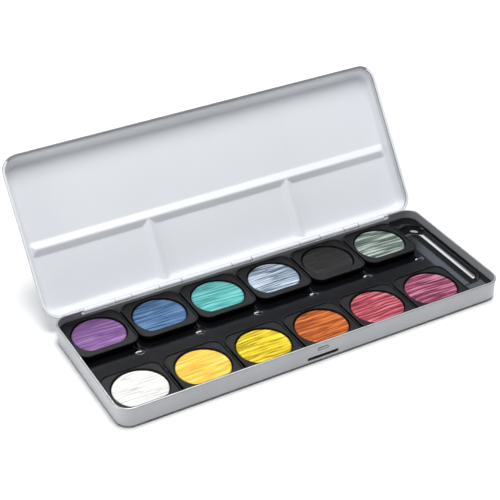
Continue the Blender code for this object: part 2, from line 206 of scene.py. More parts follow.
def sdf_well(x, y, radius, chord, corner):
    """A circle whose front is cut off flat at y = -chord, with its two corners rounded."""
    a, b = np.hypot(x, y) - radius, -chord - y
    return np.minimum(np.maximum(a, b), -corner) + np.hypot(
        np.maximum(a + corner, 0), np.maximum(b + corner, 0)
    )


def polar(shape, offset, angles):
    """Radii at which rays from the centre meet the shape's outline moved out by `offset`."""
    low, high = np.zeros_like(angles), np.full_like(angles, 60.0)
    for _ in range(44):
        mid = (low + high) / 2
        inside = shape(mid * np.cos(angles), mid * np.sin(angles)) < offset
        low, high = np.where(inside, mid, low), np.where(inside, high, mid)
    return (low + high) / 2


# ----------------------------------------------------------------------------------
# Smooth noise on arrays, from given seeds
# ----------------------------------------------------------------------------------
def hashed(ix, iy, seed):
    h = (ix.astype(np.int64) * 374761393 + iy.astype(np.int64) * 668265263 + seed * 974634777) & 0xFFFFFFFF
    h = ((h ^ (h >> 13)) * 1274126177) & 0xFFFFFFFF
    return ((h ^ (h >> 16)) & 0xFFFFFF) / float(0xFFFFFF)


def noise2(x, y, seed):
    """Gradient noise, about -1 to 1."""
    ix, iy = np.floor(x), np.floor(y)
    fx, fy = x - ix, y - iy
    u, v = fx * fx * fx * (fx * (fx * 6 - 15) + 10), fy * fy * fy * (fy * (fy * 6 - 15) + 10)

    def corner(dx, dy):
        a = hashed(ix + dx, iy + dy, seed) * 2 * math.pi
        return np.cos(a) * (fx - dx) + np.sin(a) * (fy - dy)

    low = corner(0, 0) * (1 - u) + corner(1, 0) * u
    high = corner(0, 1) * (1 - u) + corner(1, 1) * u
    return (low * (1 - v) + high * v) * 1.5


# ----------------------------------------------------------------------------------
# Materials
# ----------------------------------------------------------------------------------
class Graph:
    """A material under construction: adds nodes and links with short calls."""

    def __init__(self, name):
        self.material = bpy.data.materials.new(name)
        self.material.use_nodes = True
        self.tree = self.material.node_tree
        self.shader = self.tree.nodes["Principled BSDF"]
        self.place = self.node("ShaderNodeTexCoord").outputs["Object"]

    def node(self, kind, **values):
        made = self.tree.nodes.new(kind)
        for key, value in values.items():
            setattr(made, key, value)
        return made

    def link(self, a, b):
        self.tree.links.new(a, b)

    def set(self, **values):
        for key, value in values.items():
            self.shader.inputs[key.replace("_", " ")].default_value = value

    def stretched(self, scale, rotation=(0, 0, 0)):
        mapping = self.node("ShaderNodeMapping")
        mapping.inputs["Scale"].default_value = scale
        mapping.inputs["Rotation"].default_value = rotation
        self.link(self.place, mapping.inputs["Vector"])
        return mapping.outputs["Vector"]

    def noise(self, scale, detail=3.0, roughness=0.5, vector=None):
        made = self.node("ShaderNodeTexNoise")
        made.inputs["Scale"].default_value = scale
        made.inputs["Detail"].default_value = detail
        made.inputs["Roughness"].default_value = roughness
        self.link(vector or self.place, made.inputs["Vector"])
        return made.outputs["Fac"]

    def cells(self, scale, vector=None):
        made = self.node("ShaderNodeTexVoronoi")
        made.inputs["Scale"].default_value = scale
        self.link(vector or self.place, made.inputs["Vector"])
        return made

    def ramp(self, value, stops):
        made = self.node("ShaderNodeValToRGB")
        elements = made.color_ramp.elements
        while len(elements) < len(stops):
            elements.new(0.5)
        for element, (position, colour) in zip(elements, stops):
            element.position = position
            element.color = (*colour, 1.0)
        self.link(value, made.inputs["Fac"])
        return made.outputs["Color"]

    def spread(self, value, low, high, start=0.0, end=1.0):
        made = self.node("ShaderNodeMapRange")
        for key, number in (("From Min", start), ("From Max", end), ("To Min", low), ("To Max", high)):
            made.inputs[key].default_value = number
        self.link(value, made.inputs["Value"])
        return made.outputs["Result"]

    def mix(self, factor, a, b, blend="MIX"):
        made = self.node("ShaderNodeMix", data_type="RGBA", blend_type=blend)
        for socket, value in ((made.inputs[0], factor), (made.inputs[6], a), (made.inputs[7], b)):
            if isinstance(value, (int, float)):
                socket.default_value = value
            elif isinstance(value, tuple):
                socket.default_value = (*value, 1.0)
            else:
                self.link(value, socket)
        return made.outputs[2]

    def bump(self, height, strength, distance):
        made = self.node("ShaderNodeBump")
        made.inputs["Strength"].default_value = strength
        made.inputs["Distance"].default_value = distance
        self.link(height, made.inputs["Height"])
        if self.shader.inputs["Normal"].is_linked:
            before = self.shader.inputs["Normal"].links[0].from_socket
            self.link(before, made.inputs["Normal"])
        self.link(made.outputs["Normal"], self.shader.inputs["Normal"])


def silver_paint(name="silver_paint", metallic=0.72):
    g = Graph(name)
    flakes = g.cells(3600.0)
    cloud = g.noise(38.0, 3.0)
    base = g.ramp(cloud, [(0.3, (0.350, 0.357, 0.372)), (0.7, (0.395, 0.402, 0.416))])
    base = g.mix(0.16, base, g.ramp(flakes.outputs["Color"], [(0.0, (0.24, 0.245, 0.26)), (1.0, (0.60, 0.61, 0.63))]))
    g.link(base, g.shader.inputs["Base Color"])
    g.link(g.spread(g.noise(900.0, 2.0), 0.34, 0.46), g.shader.inputs["Roughness"])
    g.set(Metallic=metallic, Coat_Weight=0.25, Coat_Roughness=0.28)
    g.bump(flakes.outputs["Distance"], 0.10, 0.00004)
    g.bump(g.noise(700.0, 2.0), 0.08, 0.00006)
    return g.material


# Painted shade: a near-black coat on the tin's underside and in the gap under the wall's foot stands in for the
# contact shadow there.
def painted_foot_shade():
    g = Graph("painted_foot_shade")
    g.link(g.ramp(g.noise(900.0, 3.0), [(0.3, (0.010, 0.010, 0.012)), (0.7, (0.020, 0.020, 0.022))]), g.shader.inputs["Base Color"])
    g.link(g.spread(g.noise(500.0, 2.0), 0.55, 0.75), g.shader.inputs["Roughness"])
    g.set(Specular_IOR_Level=0.15)
    return g.material


def white_enamel():
    g = Graph("white_enamel")
    cloud = g.noise(26.0, 2.0)
    base = g.ramp(cloud, [(0.3, (0.765, 0.785, 0.825)), (0.7, (0.785, 0.803, 0.840))])
    g.link(base, g.shader.inputs["Base Color"])
    g.link(g.spread(g.noise(140.0, 2.0), 0.40, 0.50), g.shader.inputs["Roughness"])
    g.set(Metallic=0.0, Specular_IOR_Level=0.35, Coat_Weight=0.12, Coat_Roughness=0.25)
    g.bump(g.noise(420.0, 2.0), 0.04, 0.00006)
    return g.material


def black_insert():
    g = Graph("black_insert")
    cloud = g.noise(45.0, 3.0)
    base = g.ramp(cloud, [(0.3, (0.0026, 0.0027, 0.0038)), (0.7, (0.0044, 0.0047, 0.0062))])
    g.link(base, g.shader.inputs["Base Color"])
    g.link(g.spread(g.noise(160.0, 4.0, 0.6), 0.08, 0.12), g.shader.inputs["Roughness"])
    g.set(Specular_IOR_Level=0.44)
    g.bump(g.noise(230.0, 2.0), 0.05, 0.00010)
    g.bump(g.noise(2400.0, 1.0), 0.03, 0.00003)
    return g.material


def black_pan():
    g = Graph("black_pan")
    grain = g.noise(2600.0, 2.0, 0.6)
    base = g.ramp(grain, [(0.35, (0.0026, 0.0026, 0.0031)), (0.50, (0.0048, 0.0048, 0.0054)), (0.68, (0.0160, 0.0160, 0.0170))])
    g.link(base, g.shader.inputs["Base Color"])
    g.link(g.spread(g.noise(420.0, 3.0), 0.32, 0.46), g.shader.inputs["Roughness"])
    g.set(Specular_IOR_Level=0.11)
    g.bump(grain, 0.35, 0.00006)
    return g.material


def wire_steel():
    g = Graph("wire_steel")
    lines = g.noise(1.0, 3.0, 0.6, g.stretched((60.0, 5200.0, 5200.0)))
    base = g.ramp(lines, [(0.3, (0.42, 0.43, 0.44)), (0.7, (0.66, 0.67, 0.68))])
    g.link(base, g.shader.inputs["Base Color"])
    g.link(g.spread(lines, 0.22, 0.38), g.shader.inputs["Roughness"])
    g.set(Metallic=1.0)
    g.bump(lines, 0.15, 0.00004)
    return g.material


# crease, body and crest colours, how metallic the pigment is, and how strongly it was brushed. The darker crease
# colour is part pigment, part painted shade; the lighter crest colour is painted sheen.
PAINTS = {
    "violet": ((0.071, 0.029, 0.105), (0.160, 0.070, 0.215), (0.252, 0.139, 0.300), 0.35, 0.45),
    "blue": ((0.0151, 0.038, 0.107), (0.044, 0.105, 0.215), (0.105, 0.201, 0.326), 0.40, 0.55),
    "turquoise": ((0.0185, 0.155, 0.155), (0.076, 0.332, 0.319), (0.181, 0.496, 0.470), 0.35, 0.55),
    "pale_blue": ((0.034, 0.048, 0.072), (0.216, 0.268, 0.344), (0.512, 0.584, 0.664), 0.45, 1.00),
    "black": ((0.0050, 0.0050, 0.0050), (0.0102, 0.0099, 0.0099), (0.021, 0.020, 0.0198), 0.15, 0.45),
    "grey_green": ((0.0160, 0.027, 0.022), (0.136, 0.172, 0.148), (0.384, 0.448, 0.400), 0.45, 1.00),
    "white": ((0.400, 0.390, 0.360), (0.700, 0.690, 0.665), (0.800, 0.795, 0.775), 0.05, 0.60),
    "pale_gold": ((0.470, 0.250, 0.0176), (0.686, 0.436, 0.055), (0.804, 0.578, 0.137), 0.25, 0.55),
    "lemon": ((0.207, 0.135, 0.0016), (0.549, 0.387, 0.0048), (0.765, 0.621, 0.040), 0.30, 0.90),
    "orange": ((0.134, 0.022, 0.0025), (0.353, 0.066, 0.0076), (0.588, 0.181, 0.042), 0.35, 0.85),
    "coral": ((0.101, 0.0064, 0.0138), (0.322, 0.034, 0.059), (0.589, 0.175, 0.202), 0.40, 0.95),
    "magenta": ((0.070, 0.0056, 0.024), (0.228, 0.033, 0.082), (0.493, 0.186, 0.270), 0.40, 0.95),
}


def paint(name):
    crease, body, crest, metallic, _ = PAINTS[name]
    g = Graph("paint_" + name)
    relief = g.node("ShaderNodeAttribute", attribute_name="relief").outputs["Fac"]
    # The colour follows the relief: darker in the creases, part pigment and part painted shade, and lighter on the
    # crests, which is painted sheen.
    base = g.ramp(relief, [(0.20, crease), (0.50, body), (0.76, crest)])
    # Painted pearl sheen: streaks that lighten the colour towards the crest colour; the same streaks also vary the
    # roughness.
    pearl_sheen = g.noise(1.0, 2.0, 0.6, g.stretched((240.0, 2200.0, 900.0)))
    base = g.mix(g.spread(pearl_sheen, 0.0, 0.22, 0.50, 0.75), base, crest)
    flecks = g.cells(5200.0)
    base = g.mix(0.08, base, g.ramp(flecks.outputs["Color"], [(0.0, crease), (1.0, crest)]))
    g.link(base, g.shader.inputs["Base Color"])
    g.link(g.spread(pearl_sheen, 0.34, 0.52), g.shader.inputs["Roughness"])
    g.set(Metallic=metallic, Specular_IOR_Level=0.14)
    g.bump(g.noise(1.0, 3.0, 0.6, g.stretched((200.0, 2600.0, 1200.0))), 0.20, 0.00008)
    return g.material


SILVER, ENAMEL, INSERT, PAN, STEEL = silver_paint(), white_enamel(), black_insert(), black_pan(), wire_steel()
FOOT_SHADE_PAINT, LACQUER = painted_foot_shade(), silver_paint("tin_lacquer", 0.15)


# ----------------------------------------------------------------------------------
# Base tin: pressed tray, rolled rim, catch and curled knuckles
# ----------------------------------------------------------------------------------
def base_profile():
    """(inset from the wall's outer face, height): under the tin, up the wall, over the rolled rim, down inside."""
    top = BASE_TOP - BEAD_R
    centre = BEAD_R - BEAD_PROUD
    start = math.degrees(math.acos(centre / BEAD_R))
    end = 360 - math.degrees(math.acos(-(SHEET - centre) / BEAD_R))
    wall_start = top - BEAD_R * math.sin(math.radians(start))
    outer = rounded_path(
        [(8.0, 0.0), (3.3, 0.0, 0.2), (2.9, FOOT_GAP, 0.2), (0.0, FOOT_GAP, FOOT_ROUND), (0.0, wall_start - 0.25, 0.15), (0.03, wall_start)], 12
    )
    bead = []
    for k in range(21):
        a = math.radians(-start + (end + start) * k / 20)
        bead.append((centre - BEAD_R * math.cos(a), top + BEAD_R * math.sin(a)))
    inner = rounded_path([bead[-1], (SHEET, top - 1.0, 0.2), (SHEET, SHEET, 1.0), (6.0, SHEET)], 15)
    return outer + bead[1:] + inner[1:]


def make_base():
    shell = Shell()
    xs = sorted(
        set(between(-WALL_X + BASE_CORNER, WALL_X - BASE_CORNER, 12.0))
    )
    ys = between(-WALL_Y + BASE_CORNER, WALL_Y - BASE_CORNER, 12.0)
    rings, heights, outside = [], [], True
    for inset, z in base_profile():
        pts = loop_points(WALL_X, -WALL_Y, WALL_Y, BASE_CORNER, inset, 14, xs, ys)
        rings.append(shell.ring([(x, y, z) for x, y in pts]))
        heights.append(z)
    # Faces low on the outside and under the tin take the near-black painted foot shade; faces inside the tin take the
    # lacquer.
    for k, (a, b) in enumerate(zip(rings, rings[1:])):
        outside = outside and heights[k + 1] < FOOT_GAP + 0.55
        inside = not outside and base_profile()[k][0] > SHEET - 0.05
        shell.bridge(a, b, 1 if outside else 2 if inside else 0)
    shell.fan(rings[0], (0, 0, 0.0), 1)
    shell.fan(rings[-1], (0, 0, SHEET), 2)
    base = shell.make("tin_shell", [SILVER, FOOT_SHADE_PAINT, LACQUER])

    # Along the hinge the back wall is lower, with its knuckles rolled from the cut edge.
    gap = rounded_block("hinge_gap", (-HINGE_CUT, WALL_Y - SHEET - 0.6, HINGE_WALL), (HINGE_CUT, WALL_Y + 3.0, BASE_TOP + 3.0), 0.9, 4, "Y")
    cut(base, gap, "DIFFERENCE")
    # The catch: a slit through the front wall, and above it a raised nub in a shallow moat.
    slot = rounded_block("slot_cut", (-9.9, -WALL_Y - 2, 2.95), (9.9, -WALL_Y + SHEET + 0.3, 5.0), 0.9, 4, "Y")
    cut(base, slot, "DIFFERENCE")
    moat = rounded_block("catch_moat", (-3.6, -WALL_Y - 2, 7.85), (3.6, -WALL_Y + 0.45, 9.95), 0.5, 3, "Y")
    cut(base, moat, "DIFFERENCE")
    nub = rounded_block("catch_nub", (-3.1, -WALL_Y - 0.20, 8.3), (3.1, -WALL_Y + 0.6, 9.5), 0.22, 3, "ALL")
    cut(base, nub, "UNION")
    return base


HELPERS = []


def rounded_block(name, low, high, radius, segments, edges):
    """A box with rounded edges: those along Y, or all of them."""
    bm = bmesh.new()
    low, high = Vector(low) * MM, Vector(high) * MM
    bmesh.ops.create_cube(
        bm, size=1.0,
        matrix=Matrix.Translation((low + high) / 2) @ Matrix.Diagonal((*(high - low), 1.0)),
    )
    if edges == "Y":
        chosen = [e for e in bm.edges if abs(e.verts[0].co.y - e.verts[1].co.y) > 1e-6]
    elif edges == "Z":
        chosen = [e for e in bm.edges if abs(e.verts[0].co.z - e.verts[1].co.z) > 1e-6]
    else:
        chosen = list(bm.edges)
    bmesh.ops.bevel(bm, geom=chosen, offset=radius * MM, segments=segments, profile=0.5, affect="EDGES")
    mesh = bpy.data.meshes.new(name)
    bm.to_mesh(mesh)
    bm.free()
    obj = bpy.data.objects.new(name, mesh)
    bpy.context.scene.collection.objects.link(obj)
    HELPERS.append(obj)
    return obj


def bake(obj):
    """Replace the object's mesh by its evaluated one and drop its modifiers."""
    bpy.context.view_layer.update()
    evaluated = obj.evaluated_get(bpy.context.evaluated_depsgraph_get())
    mesh = bpy.data.meshes.new_from_object(evaluated)
    old = obj.data
    obj.modifiers.clear()
    obj.data = mesh
    if old.users == 0:
        bpy.data.meshes.remove(old)


def cut(obj, helper, operation):
    weighted = [m for m in obj.modifiers if m.type == "WEIGHTED_NORMAL"]
    for m in weighted:
        obj.modifiers.remove(m)
    modifier = obj.modifiers.new("cut", "BOOLEAN")
    modifier.operation, modifier.solver, modifier.object = operation, "EXACT", helper
    bake(obj)
    name = obj.data.name
    obj.data.shade_smooth()
    obj.data.set_sharp_from_angle(angle=math.radians(40))
    if weighted:
        again = obj.modifiers.new("flats", "WEIGHTED_NORMAL")
        again.mode, again.keep_sharp = "FACE_AREA", True
    return name


def extrude_profile(shell, profile, x0, x1, slot=0, chamfer=0.0):
    """A closed (y, z) outline run along X, with its ends capped."""
    n = len(profile)
    rings = [shell.ring([(x, y, z) for y, z in profile]) for x in (x0, x1)]
    shell.grid(rings, slot)
    shell.face(list(reversed(rings[0])), slot)
    shell.face(rings[1], slot)


def enamel_front(obj):
    """The enamel runs over the side of the hinge that faces up and forward with the lid open."""
    for face in obj.data.polygons:
        face.material_index = 1 if face.normal.y * -0.64 + face.normal.z * 0.77 > 0.15 else 0
    return obj


def make_base_knuckles():
    """Tabs of the back wall, each curled round the hinge wire until its edge all but meets the tab."""
    outline = [(WALL_Y - 0.25, HINGE_Z - KNUCKLE_R)]
    for k in range(31):
        a = math.radians(-90 + (205 + 90) * k / 30)
        outline.append((HINGE_Y + KNUCKLE_R * math.cos(a), HINGE_Z + KNUCKLE_R * math.sin(a)))
    for k in range(31):
        a = math.radians(205 - (205 + 90) * k / 30)
        outline.append((HINGE_Y + BORE_R * math.cos(a), HINGE_Z + BORE_R * math.sin(a)))
    outline.append((WALL_Y - 0.25, HINGE_Z - BORE_R))
    shell = Shell()
    for x0, x1 in BASE_SPANS:
        extrude_profile(shell, outline, x0, x1)
    return enamel_front(shell.make("tin_knuckles", [SILVER, ENAMEL], angle=35, weighted=False))


def make_pin():
    shell = Shell()
    rings = []
    for x, r in ((-103.0, 0.30), (-102.9, 0.48), (-102.65, PIN_R), (102.65, PIN_R), (102.9, 0.48), (103.0, 0.30)):
        rings.append(
            shell.ring(
                [(x, HINGE_Y + r * math.cos(2 * math.pi * k / 24), HINGE_Z + r * math.sin(2 * math.pi * k / 24)) for k in range(24)]
            )
        )
    shell.grid(rings)
    shell.face(list(reversed(rings[0])))
    shell.face(rings[-1])
    return shell.make("hinge_wire", [STEEL], angle=50, weighted=False)


# ----------------------------------------------------------------------------------
# Lid: silver outside, white enamel inside, with pressed ridges
# ----------------------------------------------------------------------------------
LID_MATRIX = Matrix.Translation((0, HINGE_Y * MM, HINGE_Z * MM)) @ Euler((-OPEN_ANGLE, 0, 0)).to_matrix().to_4x4()


def smooth_max(a, b, k):
    h = np.clip(0.5 + 0.5 * (a - b) / k, 0, 1)
    return b * (1 - h) + a * h + k * h * (1 - h)


def smooth_min(a, b, k):
    return -smooth_max(-a, -b, k)


def ridge(t, along_left, width, round_crest):
    """Height, 0 to 1, of a pressed ridge at distance t from its crest and along_left from its end."""
    side = 1 - (np.sqrt(t * t + round_crest**2) - round_crest * 0.55) / width
    end = along_left / (width * 0.7)
    return smooth_max(smooth_min(smooth_min(side, end, 0.16), np.ones_like(t), 0.05), np.zeros_like(t), 0.14) - 0.035


def lid_relief(x, s):
    """How far the lid's panel is pressed in towards its mouth, in millimetres."""
    long_one = RIDGE_H * ridge(s - RIDGE_S, RIDGE_HALF - np.abs(x), RIDGE_W, 0.55)
    cross = CROSS_H * ridge(np.abs(x) - CROSS_X, RIDGE_S + 2.5 - s, CROSS_W, 0.55)
    return np.maximum(smooth_max(long_one, cross, 0.5) - 0.09, 0.0)


def fill_panel(shell, ring, depth, direction, slot):
    """Fill a ring of the lid with a fine net of points that follows the ridges."""
    bound = [(shell.points[i][0], shell.points[i][1]) for i in ring]
    half_x = max(p[0] for p in bound)
    low, high = min(p[1] for p in bound), max(p[1] for p in bound)
    corner = max(LID_CORNER - 6.7, 0.5)
    xs = set(np.round(np.arange(-half_x + 1.5, half_x - 1.4, 3.0), 3))
    ss = set(np.round(np.arange(low + 1.5, high - 1.4, 3.0), 3))
    for side in (-1, 1):
        xs = {v for v in xs if abs(v - side * CROSS_X) > 5.5}
        xs |= set(np.round(side * CROSS_X + np.arange(-5.4, 5.41, 0.45), 3))
        xs |= set(np.round(side * (RIDGE_HALF - np.arange(0.2, 7.0, 0.75)), 3))
    ss = {v for v in ss if abs(v + RIDGE_S) > 6.2}
    ss |= set(np.round(-RIDGE_S + np.arange(-6.0, 6.01, 0.4), 3))
    ss |= set(np.round(-LID_FILLET - np.arange(0.4, 4.0, 0.8), 3))
    xs, ss = sorted(xs), sorted(ss)
    gx, gs = np.meshgrid(xs, ss)
    gx, gs = gx.ravel(), gs.ravel()
    mid = (low + high) / 2
    keep = sdf_rect(gx, gs - mid, half_x, (high - low) / 2, corner) < -0.7
    gx, gs = gx[keep], gs[keep]
    inner = list(zip(gx.tolist(), gs.tolist()))
    count = len(bound)
    verts2 = [Vector(p) for p in bound] + [Vector(p) for p in inner]
    loop = list(range(count))
    out_verts, _, out_faces, orig, _, _ = delaunay_2d_cdt(verts2, [], [loop], 1, 1e-6)
    index = []
    relief = lid_relief(np.array([v.x for v in out_verts]), -np.array([v.y for v in out_verts]))
    for v, origins, h in zip(out_verts, orig, relief):
        first = [o for o in origins if o < count]
        if first:
            index.append(ring[first[0]])
        else:
            index.append(shell.ring([(v.x, v.y, depth - h)])[0])
    for f in out_faces:
        shell.face([index[i] for i in f], slot)


def lid_profiles():
    """(inset, depth) of the outside, from panel to mouth, and of the inside, from mouth to panel."""
    outer = rounded_path(
        [(LID_FILLET, LID_DEPTH), (1.15, LID_DEPTH, 5.6), (0.78, 4.05, 0.35), (0.0, 3.75, 0.35), (0.0, 1.75)], 10
    )
    inner = rounded_path(
        [(SHEET, 2.15), (SHEET, 3.35, 0.5), (1.55, 3.75, 0.5), (1.90, LID_DEPTH - SHEET, 4.8), (LID_FILLET, LID_DEPTH - SHEET)], 8
    )
    return outer, inner


def make_lid():
    shell = Shell()
    edges = set()
    for a, b in BASE_SPANS:
        for x in (a - KNUCKLE_GAP, b + KNUCKLE_GAP):
            edges |= {round(x - 0.04, 3), round(x + 0.04, 3)}
    straight = LID_X - LID_CORNER
    for side in (-1, 1):
        edges |= {round(side * CROSS_X + k * 0.9, 3) for k in range(-6, 7)}
    xs = sorted({x for x in between(-straight, straight, 6.0) if min(abs(x - e) for e in edges) > 0.6} | edges)
    ends = {round(-RIDGE_S + k * 0.9, 3) for k in range(-6, 7)}
    ys = sorted({y for y in between(-LID_S + LID_CORNER, -LID_CORNER, 6.0) if min(abs(y - e) for e in ends) > 0.6} | ends)

    def notch(x):
        return any(a - KNUCKLE_GAP < x < b + KNUCKLE_GAP for a, b in BASE_SPANS)

    outer, inner = lid_profiles()
    hem = rounded_path(
        [(0.0, 1.62), (-0.04, 1.32, 0.08), (-0.62, 1.22, 0.25), (-0.62, 0.03, 0.45), (1.05, 0.03, 0.40), (1.05, 1.80, 0.2), (SHEET, 2.05)], 22
    )
    rings, slots = [], []

    def add(inset, d, slot, panel=None):
        pts = []
        for x, y in loop_points(LID_X, -LID_S, 0.0, LID_CORNER, inset, 16, xs, ys):
            depth, yy = d, y
            if y > -2.2 and abs(x) < 104.2:
                # Along the hinge the rim is plain sheet, cut back round the base's knuckles.
                floor = 1.78 if notch(x) else 0.30
                if d < floor + 0.2:
                    depth = floor
                    yy = -min(max(inset, 0.02), SHEET - 0.02)
            short_end = y > -8.0 and abs(abs(x) - CROSS_X) < 5.6
            long_end = abs(x) > 108.0 and abs(y + RIDGE_S) < 6.5
            if panel and (short_end or long_end):
                # The ridges run on into the fillet round the panel.
                lift = float(lid_relief(np.array([x]), np.array([-yy]))[0])
                if lift > 0.01:
                    depth = min(depth, panel - lift)
            pts.append((x, yy, depth))
        rings.append(shell.ring(pts))
        slots.append(slot)

    for inset, d in outer:
        add(inset, d, 0, LID_DEPTH)
    for inset, d in hem:
        add(inset, d, 1 if d < 0.30 and inset > -0.30 else 0)
    for inset, d in inner:
        add(inset, d, 1, LID_DEPTH - SHEET)
    for k, (a, b) in enumerate(zip(rings, rings[1:])):
        shell.bridge(a, b, max(slots[k], slots[k + 1]))
    fill_panel(shell, rings[0], LID_DEPTH, -1, 0)
    fill_panel(shell, rings[-1], LID_DEPTH - SHEET, 1, 1)
    for k, face in enumerate(shell.faces):
        # Along the free edge the curled rim is bare of enamel.
        if all(shell.points[i][1] < -LID_S + 3.2 and shell.points[i][2] < 2.1 for i in face):
            shell.slots[k] = 0
    return shell.make("lid_shell", [SILVER, ENAMEL], LID_MATRIX, angle=50)


def make_lid_knuckles():
    shell = Shell()
    n = 28
    for x0, x1 in LID_SPANS:
        rows = []
        for x, r in ((x0, KNUCKLE_R - 0.12), (x0 + 0.12, KNUCKLE_R), (x1 - 0.12, KNUCKLE_R), (x1, KNUCKLE_R - 0.12), (x1, BORE_R), (x0, BORE_R)):
            rows.append(shell.ring([(x, r * math.cos(2 * math.pi * k / n), r * math.sin(2 * math.pi * k / n)) for k in range(n)]))
        shell.grid(rows + [rows[0]])
    return enamel_front(shell.make("lid_knuckles", [SILVER, ENAMEL], LID_MATRIX, angle=35, weighted=False))


# ----------------------------------------------------------------------------------
# Insert: glossy black tray with a pocket for each pan and an empty bay at the right
# ----------------------------------------------------------------------------------
def pocket_ring(shell, x, y, half_x, half_y, corner, offset, z, corner_n=8):
    pts = loop_points(half_x - offset, -(half_y - offset), half_y - offset, max(corner - offset, 0.3), 0, corner_n, [0.0], [0.0])
    return shell.ring([(x + px, y + py, z) for px, py in pts])


def make_insert():
    bottom, plateau, rim = 1.1, 4.5, 7.8
    shell = Shell()
    block = rounded_block("insert_tray_looks", (-120.9, -44.7, bottom), (120.9, 44.7, rim), 7.3, 10, "Z")
    HELPERS.remove(block)
    low = rounded_block("plateau_cut", (-124, -48, plateau), (104.7, 48, rim + 3), 0.01, 1, "Z")
    bay = bay_cutter(plateau, rim)
    cut(block, low, "DIFFERENCE")
    cut(block, bay, "DIFFERENCE")
    for index, (x, y) in enumerate(pan_places()):
        pocket = filleted_cutter(
            f"pocket_{index}", (x - 17.1, y - 16.95, 1.9), (x + 17.1, y + 16.95, plateau + 3), 5.3, 7, 1.2, 4
        )
        cut(block, pocket, "DIFFERENCE")
    for index in range(6):
        snap = dome("snap_nub", (FIRST_X + index * PITCH + 15.1, 6.1, plateau - 0.02), 3.3, 0.42)
        cut(block, snap, "UNION")
    block.data.materials.clear()
    block.data.materials.append(INSERT)
    block.data.polygons.foreach_set("material_index", [0] * len(block.data.polygons))
    bevel = block.modifiers.new("lips", "BEVEL")
    bevel.width, bevel.segments, bevel.limit_method = 0.45 * MM, 3, "ANGLE"
    bevel.angle_limit = math.radians(55)
    bevel.use_clamp_overlap = True
    bake(block)
    bm = bmesh.new()
    bm.from_mesh(block.data)
    bmesh.ops.remove_doubles(bm, verts=bm.verts, dist=2e-6)
    bmesh.ops.dissolve_degenerate(bm, edges=bm.edges, dist=2e-6)
    bm.to_mesh(block.data)
    bm.free()
    block.data.shade_smooth()
    block.data.set_sharp_from_angle(angle=math.radians(50))
    flats = block.modifiers.new("flats", "WEIGHTED_NORMAL")
    flats.mode, flats.keep_sharp = "FACE_AREA", True
    block.name = "insert_shell"
    return block


def bay_cutter(low, rim):
    """The empty bay: a rounded hollow whose sides sweep up from the flat in a quarter ellipse."""
    shell = Shell()
    left, right, half = 90.0, 120.2, 35.2
    reach, corner, brow = 5.2, 9.2, 0.0
    rings = []
    for k in range(19):
        a = math.radians(90 * k / 18)
        inset, z = reach * (1 - math.sin(a)), rim - (rim - low) * math.cos(a)
        rings.append((inset, z))
    rings.append((0.0, rim + 3))
    made = []
    for inset, z in rings:
        pts = loop_points((right - left) / 2, -half, half, corner, inset, 14, [brow], between(-half + corner, half - corner, 10.0))
        fall = 0.045 * max(0.0, 1 - (z - low) / 2.0)  # beyond its brow the floor falls a little to the right
        made.append(shell.ring([(x + (left + right) / 2, y, z - fall * max(x - brow, 0.0)) for x, y in pts]))
    shell.grid(made)
    foot = made[0]
    a, b = [k for k, i in enumerate(foot) if abs(shell.points[i][0] - (left + right) / 2 - brow) < 1e-6]
    shell.face(list(reversed(foot[a : b + 1])))
    shell.face(list(reversed(foot[b:] + foot[: a + 1])))
    shell.face(made[-1])
    obj = shell.make("bay_cut", [], angle=50, weighted=False)
    HELPERS.append(obj)
    return obj


def dome(name, place, radius, height):
    """A low round cap, closed below, for a nub moulded on a flat."""
    shell = Shell()
    ball = (radius * radius + height * height) / (2 * height)
    top = math.asin(radius / ball)
    rings = [shell.ring([(place[0] + radius * math.cos(a), place[1] + radius * math.sin(a), place[2] - 0.3) for a in np.arange(28) * math.pi / 14])]
    for k in range(7):
        t = top * (1 - k / 7)
        r, z = ball * math.sin(t), place[2] + height - ball * (1 - math.cos(t))
        rings.append(shell.ring([(place[0] + r * math.cos(a), place[1] + r * math.sin(a), z) for a in np.arange(28) * math.pi / 14]))
    shell.grid(rings)
    shell.face(list(reversed(rings[0])))
    shell.fan(rings[-1], (place[0], place[1], place[2] + height))
    obj = shell.make(name, [], angle=50, weighted=False)
    HELPERS.append(obj)
    return obj


def filleted_cutter(name, low, high, corner, corner_n, foot, foot_n):
    bm = bmesh.new()
    low, high = Vector(low) * MM, Vector(high) * MM
    bmesh.ops.create_cube(
        bm, size=1.0, matrix=Matrix.Translation((low + high) / 2) @ Matrix.Diagonal((*(high - low), 1.0))
    )
    upright = [e for e in bm.edges if abs(e.verts[0].co.z - e.verts[1].co.z) > 1e-6]
    bmesh.ops.bevel(bm, geom=upright, offset=corner * MM, segments=corner_n, profile=0.5, affect="EDGES")
    lower = [e for e in bm.edges if all(abs(v.co.z - low.z) < 1e-7 for v in e.verts)]
    bmesh.ops.bevel(bm, geom=lower, offset=foot * MM, segments=foot_n, profile=0.5, affect="EDGES")
    mesh = bpy.data.meshes.new(name)
    bm.to_mesh(mesh)
    bm.free()
    obj = bpy.data.objects.new(name, mesh)
    bpy.context.scene.collection.objects.link(obj)
    HELPERS.append(obj)
    return obj


# ----------------------------------------------------------------------------------
# Pans and cakes
# ----------------------------------------------------------------------------------
FLANGE_X, FLANGE_Y, FLANGE_CORNER, FLANGE_TOP, FLANGE_THICK = 18.3, 17.6, 6.6, 9.0, 0.8
BODY_X, BODY_Y, BODY_CORNER, PAN_FLOOR = 16.75, 16.65, 5.0, 2.2
WELL_R, WELL_R_LOW, WELL_CHORD, WELL_FLOOR = 16.05, 15.0, 12.4, 3.0
CAKE_TOP = 8.2
LIP_DROP = 0.75  # how far the flange's flat lies below the lip round its edge


